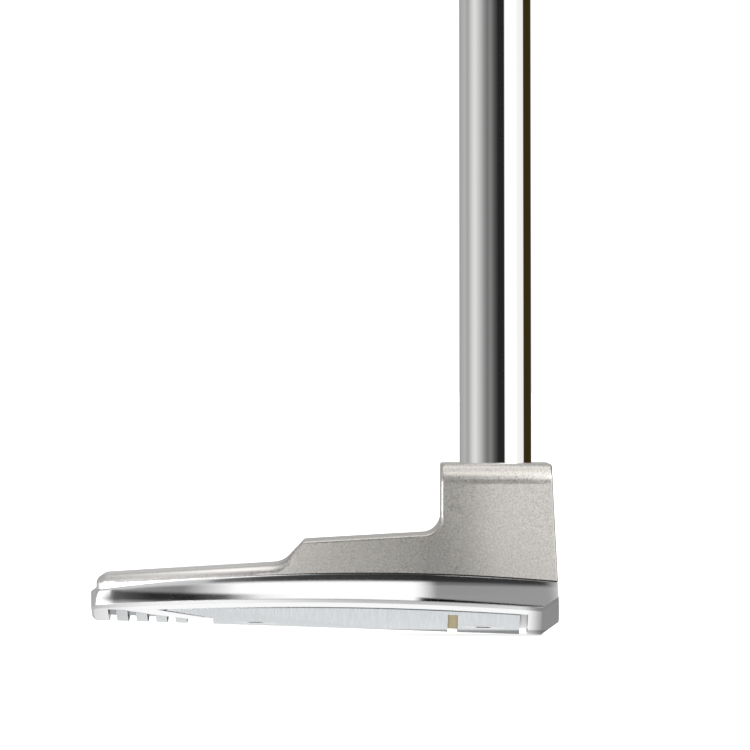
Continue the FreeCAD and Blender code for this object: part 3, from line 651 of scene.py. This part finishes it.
def floor():
    """A pale lit table under the club, wide enough to run out of every view.

    The camera sees it plain. In reflections it glows under the head and falls off in front of the face,
    behind the rear and at the toe, so polished steel near it mirrors a bright sole and grey edges.
    Further off it has light and dark fields by direction, which the blasted walls mirror softly."""
    mesh = bpy.data.meshes.new("floor")
    reach = 60.0
    level = -0.02 * MM
    mesh.from_pydata([(-reach, -reach, level), (reach, -reach, level), (reach, reach, level),
                      (-reach, reach, level)], [], [(0, 1, 2, 3)])
    made = bpy.data.objects.new("floor", mesh)
    scene.collection.objects.link(made)
    finish, g = material("floor_white")
    low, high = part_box("sole_frame")
    x, y, z = g.node("SeparateXYZ", Vector=g.place()).outputs
    beside = g.math("ABSOLUTE", y)
    middle_x = -11 * MM
    glow = g.mapped(x, low.x - 11 * MM, low.x + 8 * MM, 0, 1)
    glow = g.math("MULTIPLY", glow, g.mapped(x, high.x - 4.6 * MM, high.x - 1.8 * MM, 1, 0))
    glow = g.math("MULTIPLY", glow, g.mapped(beside, high.y - 5 * MM, high.y + 5 * MM, 1, 0))
    near = g.math("ADD", g.mapped(glow, 0, 1, 0.27, 1.0, "LINEAR"),
                  g.mapped(x, high.x + 6 * MM, high.x + 20 * MM, 0, 0.6))
    ahead = g.math("SUBTRACT", x, middle_x)
    away = g.math("SQRT", g.math("ADD", g.math("MULTIPLY", ahead, ahead), g.math("MULTIPLY", y, y)))
    aside = g.mapped(g.math("DIVIDE", ahead, g.math("MAXIMUM", away, MM)), -1, 1, 0, 1, "LINEAR")
    far = g.node("ValToRGB", Fac=aside)
    marks = far.color_ramp.elements
    marks[1].position, marks[1].color = 1.0, (0.45, 0.45, 0.45, 1)
    straight_back = -1.0
    for spot, glowing in ((straight_back, 7.0), (-0.87, 6.5), (-0.63, 3.4), (-0.5, 0.7), (-0.3, 0.2),
                          (-0.1, 0.05), (0.05, 0.05), (0.2, 0.7), (0.33, 2.3), (0.45, 1.4), (0.6, 1.35),
                          (0.75, 1.2), (0.9, 0.5)):
        mark = marks[0] if spot == straight_back else marks.new((spot + 1) / 2)
        mark.color = (glowing, glowing, glowing, 1)
    far = g.blend(g.mapped(y, 0, 60 * MM, 0, 1), far.outputs[0], (0.5, 0.5, 0.5, 1))
    far = g.node("RGBToBW", Color=far).outputs[0]
    reached = g.mapped(away, 85 * MM, 130 * MM, 0, 1)
    glow = g.math("ADD", g.math("MULTIPLY", near, g.math("SUBTRACT", 1, reached)),
                  g.math("MULTIPLY", far, reached))
    mirrored = g.node("Emission", Strength=glow)
    tone = g.blend(g.noise(g.place(), 3.0, 2.0), colour(240, 240, 240), colour(244, 244, 244))
    table = g.node("BsdfPrincipled", Base_Color=tone, Roughness=0.7, Specular_IOR_Level=0.1,
                   Emission_Color=(1.0, 1.0, 1.0, 1.0), Emission_Strength=0.75)
    seen = g.node("LightPath").outputs["Is Camera Ray"]
    mixed = g.node("MixShader", i0=seen, i1=mirrored.outputs[0], i2=table.outputs[0])
    output = g.node("OutputMaterial")
    g.tree.links.new(mixed.outputs[0], output.inputs["Surface"])
    mesh.materials.append(finish)


def camera():
    """Level, from the toe, at the distance that the long lens needs to frame the head."""
    data = bpy.data.cameras.new("camera")
    made = bpy.data.objects.new("camera", data)
    scene.collection.objects.link(made)
    data.lens = 1640
    data.sensor_width = 36
    data.clip_start, data.clip_end = 0.1, 400
    made.location = (-15.7 * MM, -4.446, 33.8 * MM)
    made.rotation_euler = (math.radians(90), 0, 0)
    scene.camera = made


studio()
floor()
camera()
scene.view_settings.view_transform = "Standard"
scene.view_settings.look = "None"

bpy.context.view_layer.update()
